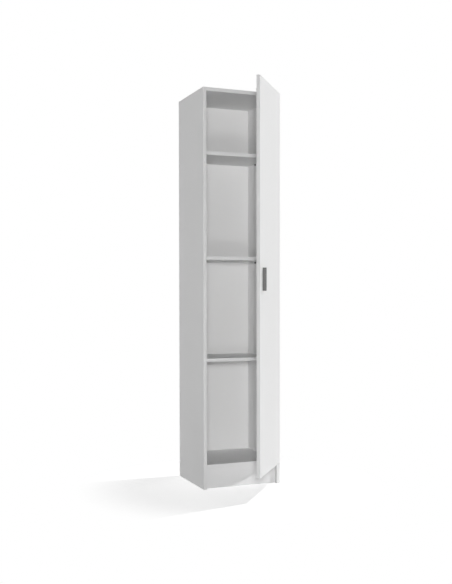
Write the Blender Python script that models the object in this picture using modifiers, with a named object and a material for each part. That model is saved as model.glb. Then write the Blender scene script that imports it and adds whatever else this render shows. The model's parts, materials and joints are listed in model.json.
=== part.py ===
# Narrow one-door cupboard, built of melamine faced boards the way a flat-pack cupboard is.
# Metres, +Z up. The origin is on the floor, in the middle of the width, halfway through the plinth.
# The front faces -Y and the door hangs on the right, at +X, standing ajar.

import math

import bmesh
import bpy
from mathutils import Vector

MM = 0.001
UP = Vector((0.0, 0.0, 1.0))
ACROSS = Vector((1.0, 0.0, 0.0))
ALONG = Vector((0.0, 1.0, 0.0))

# Carcass
HEIGHT = 1820 * MM
WIDTH = 380 * MM
DEPTH = 350 * MM
BOARD = 16 * MM
BACK_SHEET = 3 * MM
BACK_MARGIN = 1.5 * MM
BACK_FOOT = 10 * MM
BOARD_ROUND = 0.7 * MM
SHEET_ROUND = 0.3 * MM
SEAT = 0.3 * MM
PLINTH_SETBACK = 21 * MM
PLINTH_HEIGHT = 97 * MM

# Shelves. The lower one's top is counted in steps of the pin holes.
HOLE_STEP = 32 * MM
LOWER_STEPS = 15
MIDDLE_TOP = 1063 * MM
TOP_SPACE = 261 * MM
SHELF_SETBACK = 54 * MM
SHELF_PLAY = 0.6 * MM
SHELF_BACK_PLAY = 1 * MM

# Shelf pins: a peg in the side and a thicker rest under the shelf. The holes are counted in steps
# from each shelf's own, and the rear row in steps from the front row.
PEG_RADIUS = 2.5 * MM
PEG_LENGTH = 8 * MM
REST_RADIUS = 3.5 * MM
REST_LENGTH = 8 * MM
PIN_PLAY = 0.2 * MM
PIN_ROW_INSET = 34 * MM
PIN_ROW_STEPS = 5
PIN_HOLES = (-2, -1, 0, 1)

# Cam connectors
CAM_RADIUS = 7.5 * MM
CAM_DEPTH = 12.5 * MM
CAM_INSET = 24 * MM
CAM_ROW_INSET = 45 * MM
BOLT_RADIUS = 3.2 * MM
STUD_RADIUS = 2.5 * MM
STUD_LENGTH = 10 * MM
CONNECTOR_PLAY = 0.3 * MM

# Plinth blocks
BLOCK_SIDE = 22 * MM
BLOCK_WIDTH = 40 * MM
BLOCK_INSET = 59 * MM
BLOCK_ROUND = 1.5 * MM

# Door
DOOR_REVEAL = 3 * MM
DOOR_TOP_REVEAL = 1 * MM
DOOR_FOOT_REVEAL = 1.5 * MM
DOOR_GAP = 3 * MM
AJAR = math.radians(52.3)

# Handle, a solid bar with a finger pocket on the side that faces the hinges
HANDLE_LENGTH = 100 * MM
HANDLE_WIDTH = 14 * MM
HANDLE_REACH = 15 * MM
HANDLE_INSET = 42.5 * MM
HANDLE_HEIGHT = 954 * MM
HANDLE_ROUND = 1.2 * MM
POCKET_LENGTH = 74 * MM
POCKET_DEPTH = 8.5 * MM
POCKET_LIP = 3.5 * MM
HANDLE_SCREW_SPREAD = 86 * MM
SCREW_RADIUS = 2 * MM
SCREW_HEAD_RADIUS = 4 * MM
SCREW_HEAD = 1.8 * MM
SCREW_BITE = 8 * MM
SCREW_PLAY = 0.4 * MM

# Door bumpers
BUMPER_RADIUS = 4 * MM
BUMPER_HEIGHT = 2.3 * MM
BUMPER_INSET = 60 * MM

# Hinges. Places are (inwards from the side's outer face, forwards from the front edges), door shut.
HINGE_END_INSET = 100 * MM
HINGE_MIDDLE_HEIGHT = 900 * MM
ARM_OUTER_PIVOT = Vector((38.2, -16.6, 0.0)) * MM
ARM_INNER_PIVOT = Vector((37.1, 3.9, 0.0)) * MM
CUP_OUTER_PIVOT = Vector((15.15, 5.8, 0.0)) * MM
CUP_INNER_PIVOT = Vector((19.3, 8.4, 0.0)) * MM
OUTER_TURN_SHARE = -0.33
INNER_TURN_SHARE = -0.48
OUTER_BEND_SHARE = 0.143
OUTER_BEND = 5.5 * MM
INNER_BEND_SHARE = 0.433
INNER_BEND = 5.1 * MM
OUTER_LINK_HALF_WIDTH = 2 * MM
INNER_LINK_HALF_WIDTH = 1.7 * MM
BARREL_RADIUS = 1.6 * MM
PIVOT_RADIUS = 1.1 * MM
PIVOT_PLAY = 0.15 * MM
OPEN_PIVOT_PLAY = 1.7 * MM

# Hinge widths, each from the middle of the hinge
INNER_LINK_HALF = 3.0 * MM
CHEEK_INNER = 3.5 * MM
CHEEK_OUTER = 5.2 * MM
OUTER_LINK_INNER = 5.7 * MM
OUTER_LINK_OUTER = 7.3 * MM
POCKET_HALF = 8.2 * MM

# Hinge cup, placed from the door's hinge edge and inner face
CUP_CENTRE = 22 * MM
CUP_RADIUS = 17.5 * MM
CUP_WALL = 1.1 * MM
CUP_DEPTH = 12 * MM
CUP_POCKET_DEPTH = 10.6 * MM
CUP_PLAY = 0.3 * MM
FLANGE = 0.8 * MM
FLANGE_LENGTH = 57 * MM
FLANGE_WIDTH = 35 * MM
FLANGE_CORNER = 9 * MM
LUG_HALF = 1.8 * MM

# Hinge plate and arm on the side
PLATE_FRONT = 20 * MM
PLATE_BACK = 56 * MM
PLATE_HALF = 7 * MM
PLATE_BASE = 2 * MM
PLATE_RAIL_HALF = 4.5 * MM
PLATE_RAIL = 3 * MM
WING_CENTRE = 37 * MM
WING_HALF_LENGTH = 22 * MM
WING_HALF_WIDTH = 6 * MM
WING_CORNER = 4.5 * MM
ARM_BACK = 60 * MM
ARM_HALF = 2.3 * MM
ARM_HEEL = 7 * MM
ARM_KNEE = Vector((34.0, -30.0, 0.0)) * MM
ARM_SLOT_BACK = 9 * MM

OVERRUN = 2 * MM
ROUND_STEPS = 24
SMALL_STEPS = 12
CORNER_STEPS = 4

# Places that follow from the sizes
FRONT = -PLINTH_SETBACK - BOARD / 2
REAR = FRONT + DEPTH
SIDE_REAR = REAR - BACK_SHEET - SEAT
INNER_HALF = WIDTH / 2 - BOARD
BOTTOM_TOP = PLINTH_HEIGHT + BOARD
LOWER_TOP = BOTTOM_TOP + LOWER_STEPS * HOLE_STEP
UPPER_TOP = HEIGHT - BOARD - TOP_SPACE
SHELF_FRONT = FRONT + SHELF_SETBACK
SHELF_REAR = SIDE_REAR - SHELF_BACK_PLAY
SHELF_TOPS = {"lower": LOWER_TOP, "middle": MIDDLE_TOP, "upper": UPPER_TOP}
FRONT_PIN_ROW = SHELF_FRONT + PIN_ROW_INSET
PIN_ROWS = (FRONT_PIN_ROW, FRONT_PIN_ROW + PIN_ROW_STEPS * HOLE_STEP)
CAM_ROWS = (FRONT + CAM_ROW_INSET, SIDE_REAR - CAM_ROW_INSET)
DOOR_WIDTH = WIDTH - 2 * DOOR_REVEAL
DOOR_FOOT = PLINTH_HEIGHT + DOOR_FOOT_REVEAL
DOOR_TOP = HEIGHT - DOOR_TOP_REVEAL
SHUT_CORNER = Vector((DOOR_REVEAL, DOOR_GAP, 0.0))
HINGE_HEIGHTS = {
    "lower": DOOR_FOOT + HINGE_END_INSET,
    "middle": HINGE_MIDDLE_HEIGHT,
    "upper": DOOR_TOP - HINGE_END_INSET,
}


def new_collection(name, parent):
    collection = bpy.data.collections.new(name)
    parent.children.link(collection)
    return collection


for leftover in list(bpy.data.objects):
    bpy.data.objects.remove(leftover)
PARTS = new_collection("narrow_cupboard", bpy.context.scene.collection)
CUTTERS = new_collection("cutters", bpy.context.scene.collection)


# Materials

def finish(name, color, roughness, metallic=0.0):
    made = bpy.data.materials.new(name)
    made.use_nodes = True
    shader = made.node_tree.nodes["Principled BSDF"]
    shader.inputs["Base Color"].default_value = (*color, 1.0)
    shader.inputs["Roughness"].default_value = roughness
    shader.inputs["Metallic"].default_value = metallic
    return made


WHITE_BOARD = finish("white_board", (0.86, 0.86, 0.86), 0.45)
HARDBOARD = finish("white_hardboard", (0.80, 0.80, 0.79), 0.6)
GREY_METAL = finish("dark_grey_handle", (0.18, 0.18, 0.175), 0.4, 0.6)
NICKEL = finish("nickel_steel", (0.70, 0.70, 0.68), 0.3, 1.0)
DARK_STEEL = finish("dark_steel", (0.13, 0.13, 0.13), 0.35, 1.0)
ZINC = finish("zinc_alloy", (0.55, 0.55, 0.54), 0.4, 1.0)
WHITE_PLASTIC = finish("white_plastic", (0.85, 0.85, 0.84), 0.5)
CLEAR_RUBBER = finish("clear_rubber", (0.75, 0.75, 0.74), 0.35)


# Building blocks

def add_object(name, data, look, parent, collection):
    made = bpy.data.objects.new(name, data)
    collection.objects.link(made)
    made.parent = parent
    if look is not None:
        data.materials.append(look)
    return made


def mesh_from(name, fill):
    mesh = bpy.data.meshes.new(name)
    work = bmesh.new()
    fill(work)
    work.to_mesh(mesh)
    work.free()
    return mesh


def hide_helper(helper):
    helper.hide_render = True
    helper.display_type = "WIRE"
    return helper


def round_edges(piece, width, segments=2):
    bevel = piece.modifiers.new("rounded_edges", "BEVEL")
    bevel.width = width
    bevel.segments = segments
    bevel.limit_method = "ANGLE"


def box(name, low, high, look=None, parent=None, rounding=0.0, collection=None):
    low, high = Vector(low), Vector(high)
    size = high - low

    def fill(work):
        bmesh.ops.create_cube(work, size=1.0)
        bmesh.ops.scale(work, vec=size, verts=work.verts)

    made = add_object(name, mesh_from(name, fill), look, parent, collection or PARTS)
    made.location = (low + high) / 2
    if rounding:
        round_edges(made, rounding)
    return made


def rod(name, radius, start, end, look=None, parent=None, steps=SMALL_STEPS, collection=None):
    start, end = Vector(start), Vector(end)
    run = end - start

    def fill(work):
        bmesh.ops.create_cone(
            work, cap_ends=True, segments=steps, radius1=radius, radius2=radius, depth=run.length
        )

    made = add_object(name, mesh_from(name, fill), look, parent, collection or PARTS)
    made.location = (start + end) / 2
    made.rotation_euler = UP.rotation_difference(run).to_euler()
    made.data.shade_smooth()
    made.data.set_sharp_from_angle(angle=math.radians(40))
    return made


def sheet_from_outline(name, outline, thickness, look=None, parent=None, collection=None):
    curve = bpy.data.curves.new(name + "_outline", "CURVE")
    curve.dimensions = "2D"
    curve.fill_mode = "BOTH"
    curve.extrude = thickness / 2
    spline = curve.splines.new("POLY")
    spline.points.add(len(outline) - 1)
    for point, place in zip(spline.points, outline):
        point.co = (place[0], place[1], 0.0, 1.0)
    spline.use_cyclic_u = True
    drawn = bpy.data.objects.new(name + "_outline", curve)
    CUTTERS.objects.link(drawn)
    graph = bpy.context.evaluated_depsgraph_get()
    mesh = bpy.data.meshes.new_from_object(drawn.evaluated_get(graph))
    bpy.data.objects.remove(drawn)
    work = bmesh.new()
    work.from_mesh(mesh)
    bmesh.ops.remove_doubles(work, verts=work.verts, dist=SEAT / 100)
    bmesh.ops.recalc_face_normals(work, faces=work.faces)
    work.to_mesh(mesh)
    work.free()
    mesh.name = name
    return add_object(name, mesh, look, parent, collection or PARTS)


def boolean(piece, helper, operation):
    modifier = piece.modifiers.new(helper.name, "BOOLEAN")
    modifier.operation = operation
    modifier.object = hide_helper(helper)


def cut(piece, *helpers):
    for helper in helpers:
        boolean(piece, helper, "DIFFERENCE")


def fuse(piece, *helpers):
    for helper in helpers:
        boolean(piece, helper, "UNION")


def turned_point(point, angle):
    return Vector((
        point.x * math.cos(angle) - point.y * math.sin(angle),
        point.x * math.sin(angle) + point.y * math.cos(angle),
        0.0,
    ))


def arc(centre, radius, start, sweep, steps):
    return [
        centre + radius * Vector((math.cos(start + sweep * i / steps), math.sin(start + sweep * i / steps), 0.0))
        for i in range(steps + 1)
    ]


def rounded_rectangle(centre, half_width, half_height, radius):
    outline = []
    for quarter, (across, up) in enumerate(((1, 1), (-1, 1), (-1, -1), (1, -1))):
        corner = Vector((across * (half_width - radius), up * (half_height - radius), 0.0))
        outline += arc(centre + corner, radius, quarter * math.pi / 2, math.pi / 2, CORNER_STEPS)
    return outline


def thick_line(points, half, steps=SMALL_STEPS // 2):
    """Outline of a line of the given half width along the points, with round ends."""
    sides = []
    for before, after in zip(points, points[1:]):
        run = (after - before).normalized()
        sides.append(Vector((-run.y, run.x, 0.0)) * half)
    corners = []
    for index in range(1, len(points) - 1):
        middle = (sides[index - 1] + sides[index]).normalized()
        corners.append(middle * half * half / middle.dot(sides[index]))
    start = math.atan2(sides[0].y, sides[0].x)
    end = math.atan2(-sides[-1].y, -sides[-1].x)
    outline = arc(points[0], half, start, math.pi, steps)
    outline += [point - corner for point, corner in zip(points[1:-1], corners)]
    outline += arc(points[-1], half, end, math.pi, steps)
    outline += [point + corner for point, corner in reversed(list(zip(points[1:-1], corners)))]
    return outline


# Frames on which the moving pieces are built. In each, x runs inwards from the hinge side
# and y runs forwards, as they do with the door shut.

def frame_at(name, place, turn):
    empty = bpy.data.objects.new(name, None)
    PARTS.objects.link(empty)
    empty.empty_display_size = BOARD
    empty.location = (WIDTH / 2 - place.x, FRONT - place.y, 0.0)
    empty.rotation_euler = (0.0, 0.0, math.pi + turn)
    return empty


def cup_pivot_place(angle):
    """Where the links carry the door's own axis, with the door open by the angle."""
    link = CUP_OUTER_PIVOT - ARM_OUTER_PIVOT
    return ARM_OUTER_PIVOT + turned_point(link, OUTER_TURN_SHARE * angle)


SIDE_FRAME = frame_at("side_frame", Vector((0.0, 0.0, 0.0)), 0.0)
DOOR_AXIS = frame_at("door_axis", cup_pivot_place(AJAR), AJAR)
OUTER_FRAME = frame_at("outer_link_axis", ARM_OUTER_PIVOT, OUTER_TURN_SHARE * AJAR)
INNER_FRAME = frame_at("inner_link_axis", ARM_INNER_PIVOT, INNER_TURN_SHARE * AJAR)


# The door's own frame starts at its inner corner at the hinge edge.
DOOR_FRAME = bpy.data.objects.new("door_frame", None)
PARTS.objects.link(DOOR_FRAME)
DOOR_FRAME.empty_display_size = BOARD
DOOR_FRAME.parent = DOOR_AXIS
DOOR_FRAME.location = SHUT_CORNER - CUP_OUTER_PIVOT


# Carcass boards

def side_panel(name, side):
    outer = side * WIDTH / 2
    inner = side * INNER_HALF
    panel = box(
        name,
        (min(outer, inner), FRONT, 0.0),
        (max(outer, inner), SIDE_REAR, HEIGHT),
        WHITE_BOARD,
        rounding=BOARD_ROUND,
    )
    for label, top in SHELF_TOPS.items():
        for number, step in enumerate(PIN_HOLES):
            height = top - BOARD - SEAT - REST_RADIUS + step * HOLE_STEP
            for row, depth in enumerate(PIN_ROWS):
                hole = rod(
                    f"{name}_{label}_hole_{number + 1}_{row + 1}",
                    PEG_RADIUS + PIN_PLAY,
                    (inner - side * OVERRUN, depth, height),
                    (inner + side * (PEG_LENGTH + OVERRUN), depth, height),
                    collection=CUTTERS,
                )
                cut(panel, hole)
    return panel


def level_board(name, top, front, rear, half):
    return box(
        name, (-half, front, top - BOARD), (half, rear, top), WHITE_BOARD, rounding=BOARD_ROUND
    )


SIDES = {-1: side_panel("left_side_panel", -1), 1: side_panel("right_side_panel", 1)}
FIXED_HALF = INNER_HALF - SEAT
TOP_PANEL = level_board("top_panel", HEIGHT, FRONT, SIDE_REAR, FIXED_HALF)
BOTTOM_PANEL = level_board("bottom_panel", BOTTOM_TOP, FRONT, SIDE_REAR, FIXED_HALF)
for shelf_label, shelf_top in SHELF_TOPS.items():
    level_board(
        f"{shelf_label}_shelf", shelf_top, SHELF_FRONT, SHELF_REAR, INNER_HALF - SHELF_PLAY
    )
box(
    "plinth_panel",
    (-FIXED_HALF, -BOARD / 2, 0.0),
    (FIXED_HALF, BOARD / 2, PLINTH_HEIGHT - SEAT),
    WHITE_BOARD,
    rounding=BOARD_ROUND,
)
box(
    "back_panel",
    (BACK_MARGIN - WIDTH / 2, REAR - BACK_SHEET, BACK_FOOT),
    (WIDTH / 2 - BACK_MARGIN, REAR, HEIGHT - BACK_MARGIN),
    HARDBOARD,
    rounding=SHEET_ROUND,
)


# Shelf pins

def shelf_pin(name, side, depth, top):
    inner = side * INNER_HALF
    height = top - BOARD - SEAT - REST_RADIUS
    peg = rod(
        name,
        PEG_RADIUS,
        (inner + side * PEG_LENGTH, depth, height),
        (inner - side * REST_LENGTH / 2, depth, height),
        DARK_STEEL,
    )
    rest = rod(
        name + "_rest",
        REST_RADIUS,
        (inner - side * SEAT, depth, height),
        (inner - side * REST_LENGTH, depth, height),
        collection=CUTTERS,
    )
    fuse(peg, rest)


for shelf_label, shelf_top in SHELF_TOPS.items():
    for side_label, side_sign in (("left", -1), ("right", 1)):
        for row_label, row_depth in zip(("front", "rear"), PIN_ROWS):
            shelf_pin(f"shelf_pin_{shelf_label}_{side_label}_{row_label}", side_sign, row_depth, shelf_top)


# Cam connectors, each a round cam in the board's face with its bolt into the side

def cam_connector(name, board, side, depth, face, inwards):
    """The cam is sunk from the face, whose depth runs along inwards, up or down."""
    centre = side * (FIXED_HALF - CAM_INSET)
    level = face + inwards * BOARD / 2
    joint = side * INNER_HALF
    sunk = face + inwards * (SEAT + CAM_DEPTH)
    cam = rod(name, CAM_RADIUS, (centre, depth, face + inwards * SEAT), (centre, depth, sunk), ZINC)
    bolt = rod(
        name + "_bolt", BOLT_RADIUS, (centre, depth, level), (joint - side * SEAT, depth, level),
        collection=CUTTERS,
    )
    stud = rod(
        name + "_stud",
        STUD_RADIUS,
        (joint - side * BOLT_RADIUS, depth, level),
        (joint + side * STUD_LENGTH, depth, level),
        collection=CUTTERS,
    )
    fuse(cam, bolt, stud)
    cam_hole = rod(
        name + "_cam_hole",
        CAM_RADIUS + CONNECTOR_PLAY,
        (centre, depth, face - inwards * OVERRUN),
        (centre, depth, sunk + inwards * SEAT),
        collection=CUTTERS,
    )
    bolt_hole = rod(
        name + "_bolt_hole",
        BOLT_RADIUS + CONNECTOR_PLAY,
        (centre, depth, level),
        (joint, depth, level),
        collection=CUTTERS,
    )
    stud_hole = rod(
        name + "_stud_hole",
        STUD_RADIUS + CONNECTOR_PLAY,
        (joint - side * OVERRUN, depth, level),
        (joint + side * (STUD_LENGTH + CONNECTOR_PLAY), depth, level),
        collection=CUTTERS,
    )
    cut(board, cam_hole, bolt_hole)
    cut(SIDES[side], stud_hole)


FIXED_BOARDS = (
    ("top", TOP_PANEL, HEIGHT, -1),
    ("bottom", BOTTOM_PANEL, PLINTH_HEIGHT, 1),
)
for board_label, fixed_board, cam_face, into_board in FIXED_BOARDS:
    for side_label, side_sign in (("left", -1), ("right", 1)):
        for row_label, row_depth in zip(("front", "rear"), CAM_ROWS):
            cam_connector(
                f"cam_connector_{board_label}_{side_label}_{row_label}",
                fixed_board,
                side_sign,
                row_depth,
                cam_face,
                into_board,
            )


# Plinth blocks in the corner between the plinth and the bottom board

for side_label, side_sign in (("left", -1), ("right", 1)):
    block_middle = side_sign * (INNER_HALF - BLOCK_INSET)
    box(
        f"plinth_block_{side_label}",
        (block_middle - BLOCK_WIDTH / 2, BOARD / 2 + SEAT, PLINTH_HEIGHT - SEAT - BLOCK_SIDE),
        (block_middle + BLOCK_WIDTH / 2, BOARD / 2 + SEAT + BLOCK_SIDE, PLINTH_HEIGHT - SEAT),
        WHITE_PLASTIC,
        rounding=BLOCK_ROUND,
    )


# Door, handle and what is on them. In the door's frame x runs along the door from the hinge
# edge and y from its inner face to its outer face.

DOOR_PANEL = box(
    "door_panel",
    (0.0, 0.0, DOOR_FOOT),
    (DOOR_WIDTH, BOARD, DOOR_TOP),
    WHITE_BOARD,
    DOOR_FRAME,
    BOARD_ROUND,
)


def handle():
    far = DOOR_WIDTH - HANDLE_INSET
    near = far - HANDLE_WIDTH
    face = BOARD + SEAT
    bar = box(
        "door_handle",
        (near, face, HANDLE_HEIGHT - HANDLE_LENGTH / 2),
        (far, face + HANDLE_REACH, HANDLE_HEIGHT + HANDLE_LENGTH / 2),
        GREY_METAL,
        DOOR_FRAME,
        HANDLE_ROUND,
    )
    pocket = box(
        "handle_pocket",
        (near - OVERRUN, face - OVERRUN, HANDLE_HEIGHT - POCKET_LENGTH / 2),
        (near + POCKET_DEPTH, face + HANDLE_REACH - POCKET_LIP, HANDLE_HEIGHT + POCKET_LENGTH / 2),
        parent=DOOR_FRAME,
        collection=CUTTERS,
    )
    cut(bar, pocket)
    middle = (near + far) / 2
    for label, sign in (("lower", -1), ("upper", 1)):
        height = HANDLE_HEIGHT + sign * HANDLE_SCREW_SPREAD / 2
        tip = (middle, face + SCREW_BITE, height)
        screw = rod(
            f"handle_screw_{label}", SCREW_RADIUS, (middle, -SCREW_HEAD / 2, height), tip,
            NICKEL, DOOR_FRAME,
        )
        head = rod(
            f"handle_screw_{label}_head",
            SCREW_HEAD_RADIUS,
            (middle, -SEAT - SCREW_HEAD, height),
            (middle, -SEAT, height),
            parent=DOOR_FRAME,
            collection=CUTTERS,
        )
        fuse(screw, head)
        bore = rod(
            f"handle_bore_{label}",
            SCREW_RADIUS + SCREW_PLAY,
            (middle, -OVERRUN, height),
            (middle, face + SCREW_BITE + SCREW_PLAY, height),
            parent=DOOR_FRAME,
            collection=CUTTERS,
        )
        cut(DOOR_PANEL, bore)
        cut(bar, bore)


def bumper(name, height):
    place = WIDTH - BOARD / 2 - DOOR_REVEAL
    rod(
        name,
        BUMPER_RADIUS,
        (place, -SEAT - BUMPER_HEIGHT, height),
        (place, -SEAT, height),
        CLEAR_RUBBER,
        DOOR_FRAME,
    )


handle()
bumper("door_bumper_lower", DOOR_FOOT + BUMPER_INSET)
bumper("door_bumper_upper", DOOR_TOP - BUMPER_INSET)


# Hinges

def along_z(name, radius, place, half, height, parent, look=None, collection=None):
    return rod(
        name,
        radius,
        (place.x, place.y, height - half),
        (place.x, place.y, height + half),
        look,
        parent,
        collection=collection,
    )


def hinge_cup(label, height):
    name = f"{label}_hinge_cup"
    centre = Vector((CUP_CENTRE, height, 0.0))
    edge = rounded_rectangle(centre, FLANGE_WIDTH / 2, FLANGE_LENGTH / 2, FLANGE_CORNER)
    flange = sheet_from_outline(name, edge, FLANGE, NICKEL, DOOR_FRAME)
    flange.rotation_euler = (math.pi / 2, 0.0, 0.0)
    flange.location = (0.0, -SEAT - FLANGE / 2, 0.0)
    bowl = rod(
        name + "_bowl",
        CUP_RADIUS,
        (CUP_CENTRE, -SEAT - FLANGE / 2, height),
        (CUP_CENTRE, CUP_DEPTH, height),
        parent=DOOR_FRAME,
        steps=ROUND_STEPS,
        collection=CUTTERS,
    )
    inner = CUP_RADIUS - CUP_WALL
    half_angle = math.asin(POCKET_HALF / inner)
    outline = arc(centre, inner, -half_angle, 2 * half_angle, SMALL_STEPS // 2)
    outline += arc(centre, inner, math.pi - half_angle, 2 * half_angle, SMALL_STEPS // 2)
    pocket = sheet_from_outline(
        name + "_pocket", outline, CUP_POCKET_DEPTH + OVERRUN, parent=DOOR_FRAME, collection=CUTTERS
    )
    pocket.rotation_euler = (math.pi / 2, 0.0, 0.0)
    pocket.location = (0.0, (CUP_POCKET_DEPTH - OVERRUN) / 2, 0.0)
    outer_place = CUP_OUTER_PIVOT - SHUT_CORNER
    inner_place = CUP_INNER_PIVOT - SHUT_CORNER
    pins = [
        along_z(name + "_outer_pin", PIVOT_RADIUS, outer_place, POCKET_HALF + CUP_WALL, height,
                DOOR_FRAME, collection=CUTTERS),
        along_z(name + "_inner_pin", PIVOT_RADIUS, inner_place, CHEEK_OUTER - SEAT, height,
                DOOR_FRAME, collection=CUTTERS),
    ]
    for sign in (-1, 1):
        edges = sorted((height + sign * CHEEK_INNER, height + sign * CHEEK_OUTER))
        pins.append(box(
            f"{name}_lug_{sign + 2}",
            (inner_place.x - LUG_HALF, inner_place.y - LUG_HALF, edges[0]),
            (inner_place.x + LUG_HALF, CUP_POCKET_DEPTH + CUP_WALL / 2, edges[1]),
            parent=DOOR_FRAME,
            collection=CUTTERS,
        ))
    fuse(flange, bowl)
    cut(flange, pocket)
    fuse(flange, *pins)
    bore = rod(
        name + "_bore",
        CUP_RADIUS + CUP_PLAY,
        (CUP_CENTRE, -OVERRUN, height),
        (CUP_CENTRE, CUP_DEPTH + CUP_PLAY, height),
        parent=DOOR_FRAME,
        steps=ROUND_STEPS,
        collection=CUTTERS,
    )
    cut(DOOR_PANEL, bore)


def hinge_plate(label, height):
    name = f"{label}_hinge_plate"
    seat = BOARD + SEAT
    base = box(
        name,
        (seat, -PLATE_BACK, height - PLATE_HALF),
        (seat + PLATE_BASE, -PLATE_FRONT, height + PLATE_HALF),
        ZINC,
        SIDE_FRAME,
    )
    wings = sheet_from_outline(
        name + "_wings",
        rounded_rectangle(
            Vector((-WING_CENTRE, height, 0.0)), WING_HALF_WIDTH, WING_HALF_LENGTH, WING_CORNER
        ),
        PLATE_BASE,
        parent=SIDE_FRAME,
        collection=CUTTERS,
    )
    wings.rotation_euler = (math.pi / 2, 0.0, math.pi / 2)
    wings.location = (seat + PLATE_BASE / 2, 0.0, 0.0)
    rail = box(
        name + "_rail",
        (seat + PLATE_BASE / 2, -PLATE_BACK + PLATE_BASE, height - PLATE_RAIL_HALF),
        (seat + PLATE_BASE + PLATE_RAIL, -PLATE_FRONT - PLATE_BASE, height + PLATE_RAIL_HALF),
        parent=SIDE_FRAME,
        collection=CUTTERS,
    )
    fuse(base, wings, rail)


def hinge_arm(label, height):
    name = f"{label}_hinge_arm"
    sole = BOARD + SEAT + PLATE_BASE + PLATE_RAIL + SEAT
    body = [
        Vector((sole, -ARM_BACK, 0.0)),
        Vector((sole, -PLATE_FRONT, 0.0)),
        Vector((ARM_KNEE.x, ARM_OUTER_PIVOT.y - ARM_HALF, 0.0)),
        ARM_OUTER_PIVOT,
        ARM_KNEE,
        Vector((sole + ARM_HEEL, -ARM_BACK, 0.0)),
    ]
    arm = sheet_from_outline(name, body, 2 * CHEEK_OUTER, NICKEL, SIDE_FRAME)
    arm.location = (0.0, 0.0, height)
    tip = sheet_from_outline(
        name + "_tip",
        thick_line([ARM_INNER_PIVOT, ARM_OUTER_PIVOT, ARM_KNEE], ARM_HALF),
        2 * CHEEK_OUTER,
        parent=SIDE_FRAME,
        collection=CUTTERS,
    )
    tip.location = (0.0, 0.0, height)
    fuse(arm, tip)
    slot = box(
        name + "_slot",
        (sole, -ARM_SLOT_BACK, height - CHEEK_INNER),
        (ARM_OUTER_PIVOT.x + ARM_HEEL, ARM_INNER_PIVOT.y + ARM_HEEL, height + CHEEK_INNER),
        parent=SIDE_FRAME,
        collection=CUTTERS,
    )
    cut(arm, slot)
    fuse(
        arm,
        along_z(name + "_outer_pin", PIVOT_RADIUS, ARM_OUTER_PIVOT, OUTER_LINK_OUTER + SEAT, height,
                SIDE_FRAME, collection=CUTTERS),
        along_z(name + "_inner_pin", PIVOT_RADIUS, ARM_INNER_PIVOT, CHEEK_OUTER - SEAT, height,
                SIDE_FRAME, collection=CUTTERS),
    )


def bent_line(start, end, share, bend):
    run = end - start
    sideways = Vector((-run.y, run.x, 0.0)).normalized()
    return [start, start + run * share + sideways * bend, end]


def outer_link(label, height):
    name = f"{label}_outer_link"
    cup_end = CUP_OUTER_PIVOT - ARM_OUTER_PIVOT
    arm_end = Vector((0.0, 0.0, 0.0))
    bent = bent_line(cup_end, arm_end, OUTER_BEND_SHARE, OUTER_BEND)
    line = thick_line(bent, OUTER_LINK_HALF_WIDTH)
    thickness = OUTER_LINK_OUTER - OUTER_LINK_INNER
    middle = (OUTER_LINK_OUTER + OUTER_LINK_INNER) / 2
    link = sheet_from_outline(name, line, thickness, NICKEL, OUTER_FRAME)
    link.location = (0.0, 0.0, height - middle)
    twin = sheet_from_outline(name + "_twin", line, thickness, parent=OUTER_FRAME, collection=CUTTERS)
    twin.location = (0.0, 0.0, height + middle)
    barrel = along_z(name + "_barrel", BARREL_RADIUS, cup_end, middle, height,
                     OUTER_FRAME, collection=CUTTERS)
    fuse(link, barrel, twin)
    eye = PIVOT_RADIUS + PIVOT_PLAY
    cut(
        link,
        along_z(name + "_cup_eye", eye, cup_end, OUTER_LINK_OUTER + OVERRUN, height,
                OUTER_FRAME, collection=CUTTERS),
        along_z(name + "_arm_eye", eye, arm_end, OUTER_LINK_OUTER + OVERRUN, height,
                OUTER_FRAME, collection=CUTTERS),
    )


def inner_link(label, height):
    """Its cup end stops short of the cup's inner pin: the linkage is opened there."""
    name = f"{label}_inner_link"
    cup_end = CUP_INNER_PIVOT - ARM_INNER_PIVOT
    arm_end = Vector((0.0, 0.0, 0.0))
    line = bent_line(cup_end, arm_end, INNER_BEND_SHARE, INNER_BEND)
    short = PIVOT_RADIUS + OPEN_PIVOT_PLAY + INNER_LINK_HALF_WIDTH
    line[0] = line[0] + (line[1] - line[0]).normalized() * short
    link = sheet_from_outline(
        name, thick_line(line, INNER_LINK_HALF_WIDTH), 2 * INNER_LINK_HALF, NICKEL, INNER_FRAME
    )
    link.location = (0.0, 0.0, height)
    eye = PIVOT_RADIUS + PIVOT_PLAY
    cut(link, along_z(name + "_arm_eye", eye, arm_end, INNER_LINK_HALF + OVERRUN, height,
                      INNER_FRAME, collection=CUTTERS))


for hinge_label, hinge_height in HINGE_HEIGHTS.items():
    hinge_cup(hinge_label, hinge_height)
    hinge_plate(hinge_label, hinge_height)
    hinge_arm(hinge_label, hinge_height)
    outer_link(hinge_label, hinge_height)
    inner_link(hinge_label, hinge_height)
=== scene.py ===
# Looks for the narrow one-door cupboard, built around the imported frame.
# Metres, +Z up, front towards -Y, the door hung on the right and standing ajar.
import json
import math

import bmesh
import bpy
from mathutils import Matrix, Vector
from mathutils.bvhtree import BVHTree


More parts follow.
